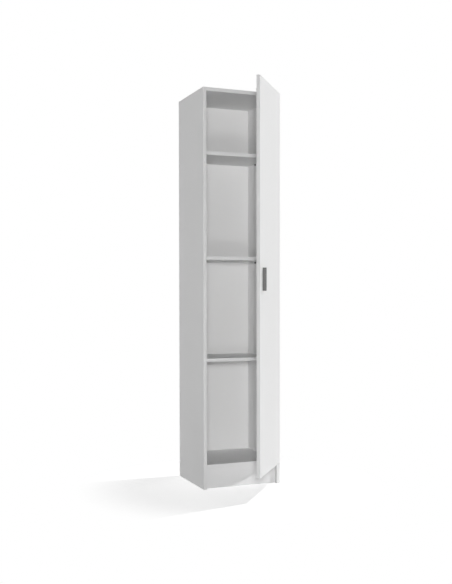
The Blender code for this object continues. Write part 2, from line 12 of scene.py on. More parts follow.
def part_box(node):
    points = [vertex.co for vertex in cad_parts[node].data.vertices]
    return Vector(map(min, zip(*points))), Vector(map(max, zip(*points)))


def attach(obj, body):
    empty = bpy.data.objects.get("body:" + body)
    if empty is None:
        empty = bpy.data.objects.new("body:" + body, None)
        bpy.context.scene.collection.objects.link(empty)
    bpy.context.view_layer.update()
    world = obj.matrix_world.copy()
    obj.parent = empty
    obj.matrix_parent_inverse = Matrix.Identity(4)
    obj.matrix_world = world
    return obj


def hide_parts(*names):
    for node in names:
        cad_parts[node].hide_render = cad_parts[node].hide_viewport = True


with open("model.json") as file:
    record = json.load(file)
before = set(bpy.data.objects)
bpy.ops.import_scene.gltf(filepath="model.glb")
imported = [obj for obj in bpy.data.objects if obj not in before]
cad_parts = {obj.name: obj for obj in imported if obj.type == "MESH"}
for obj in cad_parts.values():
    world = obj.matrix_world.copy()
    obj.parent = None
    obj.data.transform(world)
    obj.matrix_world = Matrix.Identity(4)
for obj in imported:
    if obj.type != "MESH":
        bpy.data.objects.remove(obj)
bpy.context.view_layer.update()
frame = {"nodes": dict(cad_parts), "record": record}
nodes = frame["nodes"]
mm = 0.001
print("frame loaded:", len(nodes), "nodes")

# Camera at the photograph's place and angle

cameraSet = {
    "place": (-1.5574, -3.8199, 0.8892),
    "turn": 0.40229,  # radians, from +Y towards +X
    "tilt": -0.02863,
    "roll": -0.00061,
    "focalPixels": 891.0,
    "centreOffset": (27.5, 27.7),  # pixels, right and down
    "frameHeight": 584,
    "sensor": 36.0,
    "clip": (0.05, 60.0),
}


def addCamera(settings):
    data = bpy.data.cameras.new("photoCamera")
    camera = bpy.data.objects.new("photoCamera", data)
    bpy.context.scene.collection.objects.link(camera)
    turn, tilt = settings["turn"], settings["tilt"]
    ahead = Vector((
        math.sin(turn) * math.cos(tilt), math.cos(turn) * math.cos(tilt), math.sin(tilt)
    ))
    right = Vector((math.cos(turn), -math.sin(turn), 0.0))
    up = right.cross(ahead)
    place = Matrix((right, up, -ahead)).transposed().to_4x4()
    place = place @ Matrix.Rotation(settings["roll"], 4, "Z")
    place.translation = Vector(settings["place"])
    camera.matrix_world = place
    data.sensor_width = settings["sensor"]
    data.lens = settings["focalPixels"] * settings["sensor"] / settings["frameHeight"]
    data.shift_x = -settings["centreOffset"][0] / settings["frameHeight"]
    data.shift_y = settings["centreOffset"][1] / settings["frameHeight"]
    data.clip_start, data.clip_end = settings["clip"]
    bpy.context.scene.camera = camera


addCamera(cameraSet)
print("camera placed")

# The door's own frame, read from its board: x from the hinge edge, y outwards, z up

doorAjar = 52.3  # degrees from shut, as the frame has it
doorTurn = math.pi + math.radians(doorAjar)


def straightBox(label, turn):
    back = Matrix.Rotation(-turn, 4, "Z")
    corners = [back @ vertex.co for vertex in nodes[label].data.vertices]
    return Vector(map(min, zip(*corners))), Vector(map(max, zip(*corners)))


doorLow, _ = straightBox("door_panel", doorTurn)
doorFrame = Matrix.Rotation(doorTurn, 4, "Z") @ Matrix.Translation((doorLow.x, doorLow.y, 0.0))
doorOutwards = doorFrame.to_3x3() @ Vector((0.0, 1.0, 0.0))

# Shader groups shared by the finishes

finishOutputs = [
    ("Color", "NodeSocketColor"),
    ("Roughness", "NodeSocketFloat"),
    ("Height", "NodeSocketFloat"),
]


def newGroup(name, inputs, outputs):
    tree = bpy.data.node_groups.new(name, "ShaderNodeTree")
    for label, kind, value in inputs:
        socket = tree.interface.new_socket(name=label, in_out="INPUT", socket_type=kind)
        socket.default_value = value
    for label, kind in outputs:
        tree.interface.new_socket(name=label, in_out="OUTPUT", socket_type=kind)
    return tree, tree.nodes.new("NodeGroupInput"), tree.nodes.new("NodeGroupOutput")


def closeGroup(tree, end, **results):
    for label, source in results.items():
        tree.links.new(source, end.inputs[label])
    return tree


def addNode(tree, kind, links=(), **settings):
    node = tree.nodes.new(kind)
    for label, value in settings.items():
        setattr(node, label, value)
    for socket, source in links:
        if isinstance(source, bpy.types.NodeSocket):
            tree.links.new(source, node.inputs[socket])
        else:
            node.inputs[socket].default_value = source
    return node


def addMath(tree, operation, *terms, clamp=False):
    node = addNode(
        tree, "ShaderNodeMath", enumerate(terms), operation=operation, use_clamp=clamp
    )
    return node.outputs[0]


def addVector(tree, operation, links, output="Vector"):
    return addNode(tree, "ShaderNodeVectorMath", links, operation=operation).outputs[output]


def addNoise(tree, vector, scale, detail, roughness=0.55):
    node = addNode(
        tree,
        "ShaderNodeTexNoise",
        [("Vector", vector), ("Scale", scale), ("Detail", detail), ("Roughness", roughness)],
    )
    return node.outputs["Fac"]


def spread(tree, noise, low, high, noiseLow=0.3, noiseHigh=0.7):
    # noise seldom leaves its middle part, so that part is drawn out over the whole span
    node = addNode(
        tree,
        "ShaderNodeMapRange",
        [
            ("Value", noise),
            ("From Min", noiseLow),
            ("From Max", noiseHigh),
            ("To Min", low),
            ("To Max", high),
        ],
    )
    return node.outputs["Result"]


def tinted(tree, shade, first, second):
    # 6, 7 and 2 are the mix node's colour sockets
    node = addNode(
        tree, "ShaderNodeMix", [(0, shade), (6, first), (7, second)], data_type="RGBA"
    )
    return node.outputs[2]


def roughBetween(tree, start, share):
    low, high = start.outputs["Roughness Low"], start.outputs["Roughness High"]
    span = addMath(tree, "SUBTRACT", high, low)
    return addMath(tree, "ADD", low, addMath(tree, "MULTIPLY", share, span))


def makePressedFace():
    # the pearl of a pressed paper face, with faint clouding and hand marks
    tree, start, end = newGroup(
        "pressedFace",
        [
            ("Vector", "NodeSocketVector", (0.0, 0.0, 0.0)),
            ("Tone", "NodeSocketColor", (0.8, 0.8, 0.8, 1.0)),
            ("Cloud Tone", "NodeSocketColor", (0.78, 0.78, 0.78, 1.0)),
            ("Pearl Scale", "NodeSocketFloat", 900.0),
            ("Roughness Low", "NodeSocketFloat", 0.36),
            ("Roughness High", "NodeSocketFloat", 0.46),
        ],
        finishOutputs,
    )
    cloudScale, markScale, waveScale, waveShare = 3.5, 14.0, 60.0, 0.6
    vector = start.outputs["Vector"]
    cloud = addNoise(tree, vector, cloudScale, 4.0)
    color = tinted(tree, cloud, start.outputs["Cloud Tone"], start.outputs["Tone"])
    marks = addNoise(tree, vector, markScale, 5.0, 0.62)
    rough = roughBetween(tree, start, spread(tree, marks, 0.0, 1.0))
    pearl = addNoise(tree, vector, start.outputs["Pearl Scale"], 2.0, 0.4)
    wave = addNoise(tree, vector, waveScale, 1.0, 0.3)
    height = addMath(tree, "ADD", pearl, addMath(tree, "MULTIPLY", wave, waveShare))
    return closeGroup(tree, end, Color=color, Roughness=rough, Height=height)


def makeHandledMetal():
    # fine rubbing along one way, with smudges where hands and tools have been
    tree, start, end = newGroup(
        "handledMetal",
        [
            ("Vector", "NodeSocketVector", (0.0, 0.0, 0.0)),
            ("Tone", "NodeSocketColor", (0.7, 0.7, 0.7, 1.0)),
            ("Rubbed Tone", "NodeSocketColor", (0.6, 0.6, 0.6, 1.0)),
            ("Rub Scale", "NodeSocketFloat", 700.0),
            ("Rub Stretch", "NodeSocketFloat", 12.0),
            ("Roughness Low", "NodeSocketFloat", 0.25),
            ("Roughness High", "NodeSocketFloat", 0.42),
        ],
        finishOutputs,
    )
    smudgeScale = 90.0
    vector = start.outputs["Vector"]
    parts = addNode(tree, "ShaderNodeSeparateXYZ", [(0, vector)])
    along = addMath(tree, "DIVIDE", parts.outputs["Z"], start.outputs["Rub Stretch"])
    drawn = addNode(
        tree,
        "ShaderNodeCombineXYZ",
        [("X", parts.outputs["X"]), ("Y", parts.outputs["Y"]), ("Z", along)],
    )
    rub = addNoise(tree, drawn.outputs[0], start.outputs["Rub Scale"], 3.0, 0.6)
    smudge = addNoise(tree, vector, smudgeScale, 4.0, 0.6)
    mean = addMath(tree, "MULTIPLY", addMath(tree, "ADD", rub, smudge), 0.5)
    shade = spread(tree, mean, 0.0, 1.0)
    color = tinted(tree, shade, start.outputs["Rubbed Tone"], start.outputs["Tone"])
    rough = roughBetween(tree, start, shade)
    return closeGroup(tree, end, Color=color, Roughness=rough, Height=rub)


def makeBandedEdge():
    # the narrow faces of a board, where its edge band is glued, and the fine joint beside them
    tree, start, end = newGroup(
        "bandedEdge",
        [
            ("Vector", "NodeSocketVector", (0.0, 0.0, 0.0)),
            ("Facing", "NodeSocketVector", (0.0, 0.0, 1.0)),
            ("Low", "NodeSocketVector", (0.0, 0.0, 0.0)),
            ("High", "NodeSocketVector", (1.0, 1.0, 1.0)),
            ("Thin Way", "NodeSocketVector", (0.0, 0.0, 1.0)),
            ("Joint Inset", "NodeSocketFloat", 0.001),
            ("Joint Width", "NodeSocketFloat", 0.0003),
        ],
        [("Band", "NodeSocketFloat"), ("Joint", "NodeSocketFloat")],
    )
    narrowBelow = 0.5  # of how squarely a face looks along the thin way
    place, thinWay = start.outputs["Vector"], start.outputs["Thin Way"]
    fromLow = addVector(tree, "SUBTRACT", [(0, place), (1, start.outputs["Low"])])
    fromHigh = addVector(tree, "SUBTRACT", [(0, start.outputs["High"]), (1, place)])
    nearest = addVector(tree, "MINIMUM", [(0, fromLow), (1, fromHigh)])
    nearest = addVector(tree, "ADD", [(0, nearest), (1, thinWay)])
    parts = addNode(tree, "ShaderNodeSeparateXYZ", [(0, nearest)])
    inset = addMath(tree, "MINIMUM", parts.outputs["X"], parts.outputs["Y"])
    inset = addMath(tree, "MINIMUM", inset, parts.outputs["Z"])
    squareOn = addVector(
        tree, "DOT_PRODUCT", [(0, start.outputs["Facing"]), (1, thinWay)], "Value"
    )
    band = addMath(tree, "LESS_THAN", addMath(tree, "ABSOLUTE", squareOn), narrowBelow)
    away = addMath(tree, "SUBTRACT", inset, start.outputs["Joint Inset"])
    away = addMath(tree, "ABSOLUTE", away)
    away = addMath(tree, "DIVIDE", away, start.outputs["Joint Width"])
    line = addMath(tree, "SUBTRACT", 1.0, away, clamp=True)
    line = addMath(tree, "MULTIPLY", line, addMath(tree, "SUBTRACT", 1.0, band))
    return closeGroup(tree, end, Band=band, Joint=line)


def makeRawFibre():
    # the unpainted rear of a pressed fibre sheet, flecked, with the mesh it was pressed on
    tree, start, end = newGroup(
        "rawFibre",
        [
            ("Vector", "NodeSocketVector", (0.0, 0.0, 0.0)),
            ("Tone", "NodeSocketColor", (0.34, 0.2, 0.11, 1.0)),
            ("Dark Tone", "NodeSocketColor", (0.24, 0.135, 0.07, 1.0)),
            ("Fleck Scale", "NodeSocketFloat", 320.0),
            ("Mesh Pitch", "NodeSocketFloat", 0.0014),
        ],
        finishOutputs,
    )
    cloudScale, fleckShare, cloudShare, meshShare = 5.0, 0.6, 0.4, 0.5
    vector = start.outputs["Vector"]
    fleck = addNoise(tree, vector, start.outputs["Fleck Scale"], 5.0, 0.65)
    cloud = addNoise(tree, vector, cloudScale, 4.0)
    shade = addMath(
        tree,
        "ADD",
        addMath(tree, "MULTIPLY", fleck, fleckShare),
        addMath(tree, "MULTIPLY", cloud, cloudShare),
    )
    shade = spread(tree, shade, 0.0, 1.0)
    color = tinted(tree, shade, start.outputs["Dark Tone"], start.outputs["Tone"])
    turns = addMath(tree, "DIVIDE", math.tau, start.outputs["Mesh Pitch"])
    parts = addNode(tree, "ShaderNodeSeparateXYZ", [(0, vector)])
    across, up = (
        addMath(tree, "SINE", addMath(tree, "MULTIPLY", parts.outputs[axis], turns))
        for axis in ("X", "Z")
    )
    mesh = addMath(tree, "MULTIPLY", across, up)
    height = addMath(tree, "ADD", fleck, addMath(tree, "MULTIPLY", mesh, meshShare))
    rough = spread(tree, fleck, 0.78, 0.92)
    return closeGroup(tree, end, Color=color, Roughness=rough, Height=height)


pressedFace = makePressedFace()
handledMetal = makeHandledMetal()
bandedEdge = makeBandedEdge()
rawFibre = makeRawFibre()


def groupNode(tree, group, values, vector):
    return addNode(
        tree, "ShaderNodeGroup", [("Vector", vector), *values.items()], node_tree=group
    )


def newFinish(name, group, values, bump, depth, **shaderValues):
    made = bpy.data.materials.new(name)
    made.use_nodes = True
    tree = made.node_tree
    shader = tree.nodes["Principled BSDF"]
    for label, value in shaderValues.items():
        shader.inputs[label.replace("_", " ")].default_value = value
    place = tree.nodes.new("ShaderNodeTexCoord")
    face = groupNode(tree, group, values, place.outputs["Object"])
    relief = addNode(
        tree,
        "ShaderNodeBump",
        [("Strength", bump), ("Distance", depth), ("Height", face.outputs["Height"])],
    )
    tree.links.new(face.outputs["Color"], shader.inputs["Base Color"])
    tree.links.new(face.outputs["Roughness"], shader.inputs["Roughness"])
    tree.links.new(relief.outputs["Normal"], shader.inputs["Normal"])
    return made


def grey(level, warm=0.0):
    return (level * (1 + warm), level, level * (1 - warm), 1.0)


finishes = {
    "white_board": newFinish(
        "whiteBoardFace",
        pressedFace,
        {
            "Tone": grey(0.815),
            "Cloud Tone": grey(0.8),
            "Pearl Scale": 850.0,
            "Roughness Low": 0.52,
            "Roughness High": 0.62,
        },
        bump=0.06,
        depth=0.2 * mm,
        Specular_IOR_Level=0.32,
    ),
    "white_hardboard": newFinish(
        "lacqueredHardboard",
        pressedFace,
        {
            "Tone": grey(0.8),
            "Cloud Tone": grey(0.765, 0.006),
            "Pearl Scale": 420.0,
            "Roughness Low": 0.55,
            "Roughness High": 0.7,
        },
        bump=0.14,
        depth=0.3 * mm,
    ),
    "dark_grey_handle": newFinish(
        "darkGreyHandle",
        handledMetal,
        {
            "Tone": grey(0.145, 0.012),
            "Rubbed Tone": grey(0.122, 0.012),
            "Rub Scale": 900.0,
            "Rub Stretch": 18.0,
            "Roughness Low": 0.36,
            "Roughness High": 0.48,
        },
        bump=0.08,
        depth=0.1 * mm,
        Metallic=0.25,
    ),
    "nickel_steel": newFinish(
        "nickelPlate",
        handledMetal,
        {"Tone": grey(0.72, 0.01), "Rubbed Tone": grey(0.62, 0.012)},
        bump=0.08,
        depth=0.08 * mm,
        Metallic=1.0,
    ),
    "dark_steel": newFinish(
        "burnishedPin",
        handledMetal,
        {
            "Tone": grey(0.13),
            "Rubbed Tone": grey(0.09),
            "Rub Stretch": 1.0,
            "Roughness Low": 0.3,
            "Roughness High": 0.45,
        },
        bump=0.08,
        depth=0.05 * mm,
        Metallic=1.0,
    ),
    "zinc_alloy": newFinish(
        "zincCasting",
        handledMetal,
        {
            "Tone": grey(0.6),
            "Rubbed Tone": grey(0.5),
            "Rub Scale": 520.0,
            "Rub Stretch": 1.0,
            "Roughness Low": 0.38,
            "Roughness High": 0.55,
        },
        bump=0.2,
        depth=0.12 * mm,
        Metallic=1.0,
    ),
    "white_plastic": newFinish(
        "mouldedWhite",
        pressedFace,
        {
            "Tone": grey(0.8, 0.006),
            "Cloud Tone": grey(0.78, 0.008),
            "Pearl Scale": 1600.0,
            "Roughness Low": 0.38,
            "Roughness High": 0.5,
        },
        bump=0.1,
        depth=0.08 * mm,
    ),
    "clear_rubber": newFinish(
        "milkyRubber",
        pressedFace,
        {
            "Tone": grey(0.78, 0.01),
            "Cloud Tone": grey(0.72, 0.012),
            "Pearl Scale": 1300.0,
            "Roughness Low": 0.3,
            "Roughness High": 0.45,
        },
        bump=0.08,
        depth=0.06 * mm,
        Transmission_Weight=0.45,
        IOR=1.5,
    ),
}

bandSet = {"inset": 1.0 * mm, "width": 0.3 * mm, "tone": grey(0.6), "smoother": 0.1}
sheetSet = {"facingFrom": 0.5, "bump": 0.25, "depth": 0.3 * mm}


def boardFinish(label, settings, turn):
    # the white face, with the edge band that this board carries on its narrow faces
    made = finishes["white_board"].copy()
    made.name = label + "Face"
    low, high = straightBox(label, turn)
    size = high - low
    thinWay = [float(reach == min(size)) for reach in size]
    tree = made.node_tree
    shader, place, face = (
        tree.nodes[name] for name in ("Principled BSDF", "Texture Coordinate", "Group")
    )
    straight, facing = (
        addNode(
            tree,
            "ShaderNodeMapping",
            [("Vector", place.outputs[source]), ("Rotation", (0.0, 0.0, -turn))],
            vector_type="POINT",
        )
        for source in ("Object", "Normal")
    )
    edge = groupNode(tree, bandedEdge, {
        "Facing": facing.outputs[0],
        "Low": low,
        "High": high,
        "Thin Way": thinWay,
        "Joint Inset": settings["inset"],
        "Joint Width": settings["width"],
    }, straight.outputs[0])
    color = tinted(tree, edge.outputs["Joint"], face.outputs["Color"], settings["tone"])
    smoother = addMath(tree, "MULTIPLY", edge.outputs["Band"], settings["smoother"])
    rough = addMath(tree, "SUBTRACT", face.outputs["Roughness"], smoother)
    tree.links.new(color, shader.inputs["Base Color"])
    tree.links.new(rough, shader.inputs["Roughness"])
    return made


def sheetFinish(settings):
    # lacquered on its front and edges, raw behind
    made = finishes["white_hardboard"].copy()
    made.name = "backSheetFace"
    tree = made.node_tree
    shader, place, face, relief = (
        tree.nodes[name]
        for name in ("Principled BSDF", "Texture Coordinate", "Group", "Bump")
    )
    raw = groupNode(tree, rawFibre, {}, place.outputs["Object"])
    facing = addNode(tree, "ShaderNodeSeparateXYZ", [(0, place.outputs["Normal"])])
    behind = addMath(tree, "GREATER_THAN", facing.outputs["Y"], settings["facingFrom"])
    color = tinted(tree, behind, face.outputs["Color"], raw.outputs["Color"])
    tree.links.new(color, shader.inputs["Base Color"])
    for label, reader in (("Roughness", shader), ("Height", relief)):
        mixed = addNode(
            tree,
            "ShaderNodeMix",
            [(0, behind), (2, face.outputs[label]), (3, raw.outputs[label])],
            data_type="FLOAT",
        )
        tree.links.new(mixed.outputs[0], reader.inputs[label])
    relief.inputs["Strength"].default_value = settings["bump"]
    relief.inputs["Distance"].default_value = settings["depth"]
    return made


slotOf = {part["node"]: part["material_slot"] for part in frame["record"]["subparts"]}
for label, node in nodes.items():
    node.data.materials.clear()
    if slotOf[label] == "white_board":
        turn = doorTurn if label == "door_panel" else 0.0
        node.data.materials.append(boardFinish(label, bandSet, turn))
    elif slotOf[label] == "white_hardboard":
        node.data.materials.append(sheetFinish(sheetSet))
    else:
        node.data.materials.append(finishes[slotOf[label]])
print("finishes made:", len(finishes))

# Small pieces, turned once and set out by Geometry Nodes

rayStart = 40.0 * mm  # how far off a surface the search for it begins


def plainObject(name, mesh):
    made = bpy.data.objects.new(name, mesh)
    bpy.context.scene.collection.objects.link(made)
    return made


def finishedMesh(name, work):
    mesh = bpy.data.meshes.new(name)
    work.to_mesh(mesh)
    work.free()
    return mesh


def turnedObject(name, profile, steps=28):
    # profile runs from the axis at the foot to the axis at the crown, as (radius, height);
    # no spoke of 28 or 36 lies at 45 degrees, where the corners of a cross recess are
    work = bmesh.new()
    line = [work.verts.new((radius, 0.0, height)) for radius, height in profile]
    edges = [work.edges.new(pair) for pair in zip(line, line[1:])]
    bmesh.ops.spin(
        work,
        geom=line + edges,
        cent=(0.0, 0.0, 0.0),
        axis=(0.0, 0.0, 1.0),
        angle=math.tau,
        steps=steps,
        use_merge=True,
    )
    bmesh.ops.remove_doubles(work, verts=work.verts, dist=0.001 * mm)
    bmesh.ops.recalc_face_normals(work, faces=work.faces)
    return plainObject(name, finishedMesh(name, work))


def settled(piece):
    # the evaluated shape as a plain mesh, with its modifiers gone
    bpy.context.view_layer.update()
    graph = bpy.context.evaluated_depsgraph_get()
    mesh = bpy.data.meshes.new_from_object(piece.evaluated_get(graph))
    piece.modifiers.clear()
    piece.data = mesh


def cutCross(piece, width, reach, depth, top):
    # a cross recess sunk from the crown
    arm = [Vector(corner) / 2 for corner in ((reach, -width), (reach, width), (width, width))]
    outline = [
        Matrix.Rotation(quarter * math.pi / 2, 2) @ corner
        for quarter in range(4)
        for corner in arm
    ]
    work = bmesh.new()
    foot = work.faces.new([work.verts.new((*corner, top - depth)) for corner in outline])
    grown = bmesh.ops.extrude_face_region(work, geom=[foot])["geom"]
    raised = [item for item in grown if isinstance(item, bmesh.types.BMVert)]
    bmesh.ops.translate(work, verts=raised, vec=(0.0, 0.0, 2 * depth))
    bmesh.ops.recalc_face_normals(work, faces=work.faces)
    cutter = plainObject("crossCutter", finishedMesh("crossCutter", work))
    cut = piece.modifiers.new("cross", "BOOLEAN")
    cut.operation = "DIFFERENCE"
    cut.object = cutter
    settled(piece)
    bpy.data.objects.remove(cutter)


def smoothed(piece, degrees=35.0):
    piece.data.shade_smooth()
    piece.data.set_sharp_from_angle(angle=math.radians(degrees))


def newTree(name, inputs):
    # every tree also takes its pieces' finish and the seed of their turns
    tree = bpy.data.node_groups.new(name, "GeometryNodeTree")
    for way in ("OUTPUT", "INPUT"):
        tree.interface.new_socket(name="Geometry", in_out=way, socket_type="NodeSocketGeometry")
    common = [("Finish", "NodeSocketMaterial", None), ("Turn Seed", "NodeSocketInt", 0)]
    for label, kind, value in common + inputs:
        socket = tree.interface.new_socket(name=label, in_out="INPUT", socket_type=kind)
        if value is not None:
            socket.default_value = value
    return tree, tree.nodes.new("NodeGroupInput"), tree.nodes.new("NodeGroupOutput")


def instanceOn(tree, start, end, points, piece, way):
    # each stands along its way, turned about it by chance, so that no two recesses line up
    aimed = addNode(tree, "FunctionNodeAlignRotationToVector", [("Vector", way)], axis="Z")
    turn = addNode(
        tree,
        "FunctionNodeRandomValue",
        [(3, math.tau), ("Seed", start.outputs["Turn Seed"])],
        data_type="FLOAT",
    )
    spin = addNode(tree, "ShaderNodeCombineXYZ", [("Z", turn.outputs[1])])
    turned = addNode(
        tree,
        "FunctionNodeRotateRotation",
        [("Rotation", aimed.outputs[0]), ("Rotate By", spin.outputs[0])],
        rotation_space="LOCAL",
    )
    placed = addNode(
        tree,
        "GeometryNodeInstanceOnPoints",
        [("Points", points), ("Instance", piece), ("Rotation", turned.outputs[0])],
    )
    real = addNode(tree, "GeometryNodeRealizeInstances", [("Geometry", placed.outputs[0])])
    painted = addNode(
        tree,
        "GeometryNodeSetMaterial",
        [("Geometry", real.outputs[0]), ("Material", start.outputs["Finish"])],
    )
    tree.links.new(painted.outputs[0], end.inputs[0])


def makeSetOutTree():
    tree, start, end = newTree("setOutPieces", [("Piece", "NodeSocketObject", None)])
    piece = addNode(tree, "GeometryNodeObjectInfo", [("Object", start.outputs["Piece"])])
    facing = addNode(
        tree, "GeometryNodeInputNamedAttribute", [("Name", "facing")], data_type="FLOAT_VECTOR"
    )
    points = start.outputs["Geometry"]
    instanceOn(tree, start, end, points, piece.outputs["Geometry"], facing.outputs[0])
    return tree


def makeNailRunTree():
    tree, start, end = newTree(
        "nailRun",
        [
            ("Spacing", "NodeSocketFloat", 0.1),
            ("Head Radius", "NodeSocketFloat", 0.002),
            ("Head Height", "NodeSocketFloat", 0.0005),
            ("Head Sides", "NodeSocketInt", 12),
            ("Crown Share", "NodeSocketFloat", 0.8),
            ("Stray", "NodeSocketFloat", 0.001),
        ],
    )
    path = addNode(tree, "GeometryNodeMeshToCurve", [("Mesh", start.outputs["Geometry"])])
    points = addNode(
        tree,
        "GeometryNodeResampleCurve",
        [("Curve", path.outputs[0]), ("Length", start.outputs["Spacing"])],
        mode="LENGTH",
    )
    low, high = (
        addVector(tree, "SCALE", [(0, (sign, 0.0, sign)), ("Scale", start.outputs["Stray"])])
        for sign in (-1.0, 1.0)
    )
    stray = addNode(
        tree,
        "FunctionNodeRandomValue",
        [(0, low), (1, high), ("Seed", start.outputs["Turn Seed"])],
        data_type="FLOAT_VECTOR",
    )
    moved = addNode(
        tree,
        "GeometryNodeSetPosition",
        [("Geometry", points.outputs[0]), ("Offset", stray.outputs[0])],
    )
    radius = start.outputs["Head Radius"]
    crown = addMath(tree, "MULTIPLY", radius, start.outputs["Crown Share"])
    head = addNode(
        tree,
        "GeometryNodeMeshCone",
        [
            ("Vertices", start.outputs["Head Sides"]),
            ("Radius Top", crown),
            ("Radius Bottom", radius),
            ("Depth", start.outputs["Head Height"]),
        ],
    )
    instanceOn(
        tree, start, end, moved.outputs[0], head.outputs["Mesh"], (0.0, 1.0, 0.0)
    )
    return tree


setOutTree = makeSetOutTree()
nailRunTree = makeNailRunTree()


def runTree(piece, tree, values):
    modifier = piece.modifiers.new(tree.name, "NODES")
    modifier.node_group = tree
    for item in tree.interface.items_tree:
        if item.item_type == "SOCKET" and item.in_out == "INPUT" and item.name in values:
            modifier[item.identifier] = values[item.name]
    settled(piece)


def setOut(name, pattern, spots, body, slot, seed):
    # spots are (place, facing) pairs
    mesh = bpy.data.meshes.new(name)
    mesh.from_pydata([place for place, _ in spots], [], [])
    facing = mesh.attributes.new("facing", "FLOAT_VECTOR", "POINT")
    for value, (_, way) in zip(facing.data, spots):
        value.vector = way
    piece = plainObject(name, mesh)
    runTree(piece, setOutTree, {
        "Piece": pattern,
        "Finish": finishes[slot],
        "Turn Seed": seed,
    })
    smoothed(piece)
    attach(piece, body)
    return piece


def domeProfile(sizes):
    return [(sizes["radius"] * out, sizes["height"] * up) for out, up in sizes["profile"]]


def landOn(label, start, way):
    # where a line from the start meets the node, and the way that its surface faces there
    mesh = nodes[label].data
    tree = BVHTree.FromPolygons(
        [vertex.co for vertex in mesh.vertices], [face.vertices for face in mesh.polygons]
    )
    place, facing, _, _ = tree.ray_cast(start, way)
    return place, facing


def middleOf(label):
    low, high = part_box(label)
    return (low + high) / 2


# Screws that show: on the hinge plates, the hinge arms, the cups' flanges and behind the handle

hingeScrewSet = {
    "radius": 3.6 * mm,
    "height": 1.9 * mm,
    "profile": [  # shares of the radius and of the height
        (0.0, 0.0),
        (0.96, 0.0),
        (1.0, 0.12),
        (1.0, 0.34),
        (0.93, 0.6),
        (0.76, 0.83),
        (0.5, 0.96),
        (0.0, 1.0),
    ],
    "recessWidth": 0.9 * mm,
    "recessReach": 4.0 * mm,
    "recessDepth": 1.1 * mm,
    "plateFromMiddle": (-1.0 * mm, 17.5 * mm),  # along the side and up
    "cupFromEdge": 31.5 * mm,
    "cupUp": 22.5 * mm,
    "armFromRear": (6.5 * mm, 19.0 * mm),
}
handleScrewSet = dict(hingeScrewSet, radius=4.2 * mm, height=2.3 * mm, recessReach=4.6 * mm)


def panHead(name, sizes):
    head = turnedObject(name, domeProfile(sizes))
    cutCross(
        head, sizes["recessWidth"], sizes["recessReach"], sizes["recessDepth"], sizes["height"]
    )
    return head


def hingeSpots(settings):
    intoSide = Vector((1.0, 0.0, 0.0))
    clear = intoSide * rayStart
    along, up = settings["plateFromMiddle"]
    plate, cup, arm = [], [], []
    for hinge in ("lower", "middle", "upper"):
        middle = middleOf(hinge + "_hinge_plate")
        for sign in (-1, 1):
            start = middle + Vector((0.0, along, sign * up)) - clear
            plate.append(landOn(hinge + "_hinge_plate", start, intoSide))
            height = middle.z + sign * settings["cupUp"]
            start = doorFrame @ Vector((settings["cupFromEdge"], -rayStart, height))
            cup.append(landOn(hinge + "_hinge_cup", start, doorOutwards))
        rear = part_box(hinge + "_hinge_arm")[1].y
        for back in settings["armFromRear"]:
            start = Vector((middle.x, rear - back, middle.z)) - clear
            arm.append(landOn(hinge + "_hinge_arm", start, intoSide))
    return plate, cup, arm


hingeScrew = panHead("screwPattern", hingeScrewSet)
plateSpots, cupSpots, armSpots = hingeSpots(hingeScrewSet)
setOut("hingePlateScrews", hingeScrew, plateSpots, "carcass", "nickel_steel", seed=11)
setOut("hingeCupScrews", hingeScrew, cupSpots, "door", "nickel_steel", seed=12)
setOut("hingeArmScrews", hingeScrew, armSpots, "carcass", "nickel_steel", seed=13)

handleScrew = panHead("handleScrewPattern", handleScrewSet)
handleNodes = ["handle_screw_lower", "handle_screw_upper"]
handleSpots = []
for label in handleNodes:
    local = doorFrame.inverted() @ middleOf(label)
    local.y = 0.0
    handleSpots.append((doorFrame @ local, -doorOutwards))
handleScrews = setOut("handleScrews", handleScrew, handleSpots, "door", "nickel_steel", seed=14)
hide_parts(*handleNodes)
print("screws set out")

# Soft bumpers on the door's inner face

bumperSet = {
    "radius": 4.0 * mm,
    "height": 2.4 * mm,
    "profile": [  # shares of the radius and of the height
        (0.0, 0.0),
        (0.97, 0.0),
        (1.0, 0.1),
        (0.98, 0.42),
        (0.86, 0.72),
        (0.62, 0.92),
        (0.3, 1.0),
        (0.0, 1.0),
    ],
}

bumper = turnedObject("bumperPattern", domeProfile(bumperSet))
bumperNodes = ["door_bumper_lower", "door_bumper_upper"]
bumperSpots = [
    landOn("door_panel", middleOf(label) - doorOutwards * rayStart, doorOutwards)
    for label in bumperNodes
]
doorBumpers = setOut("doorBumpers", bumper, bumperSpots, "door", "clear_rubber", seed=15)
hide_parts(*bumperNodes)
print("bumpers set out")

# Cams in the fixed boards, each with its cross recess

camSet = {
    "radius": 7.5 * mm,
    "height": 3.0 * mm,
    "rim": 0.6 * mm,
    "recessWidth": 2.0 * mm,
    "recessDepth": 1.6 * mm,
    "steps": 36,
}


def camPattern(sizes):
    radius, height, rim = sizes["radius"], sizes["height"], sizes["rim"]
    sunk = -rim / 2
    profile = [
        (0.0, -height),
        (radius - rim, -height),
        (radius, rim - height),
        (radius, -rim),
        (radius - rim / 2, 0.0),
        (radius - 2 * rim, 0.0),
        (radius - 2.6 * rim, sunk),
        (0.0, sunk),
    ]
    cam = turnedObject("camPattern", profile, sizes["steps"])
    cutCross(cam, sizes["recessWidth"], radius, sizes["recessDepth"], sunk)
    return cam


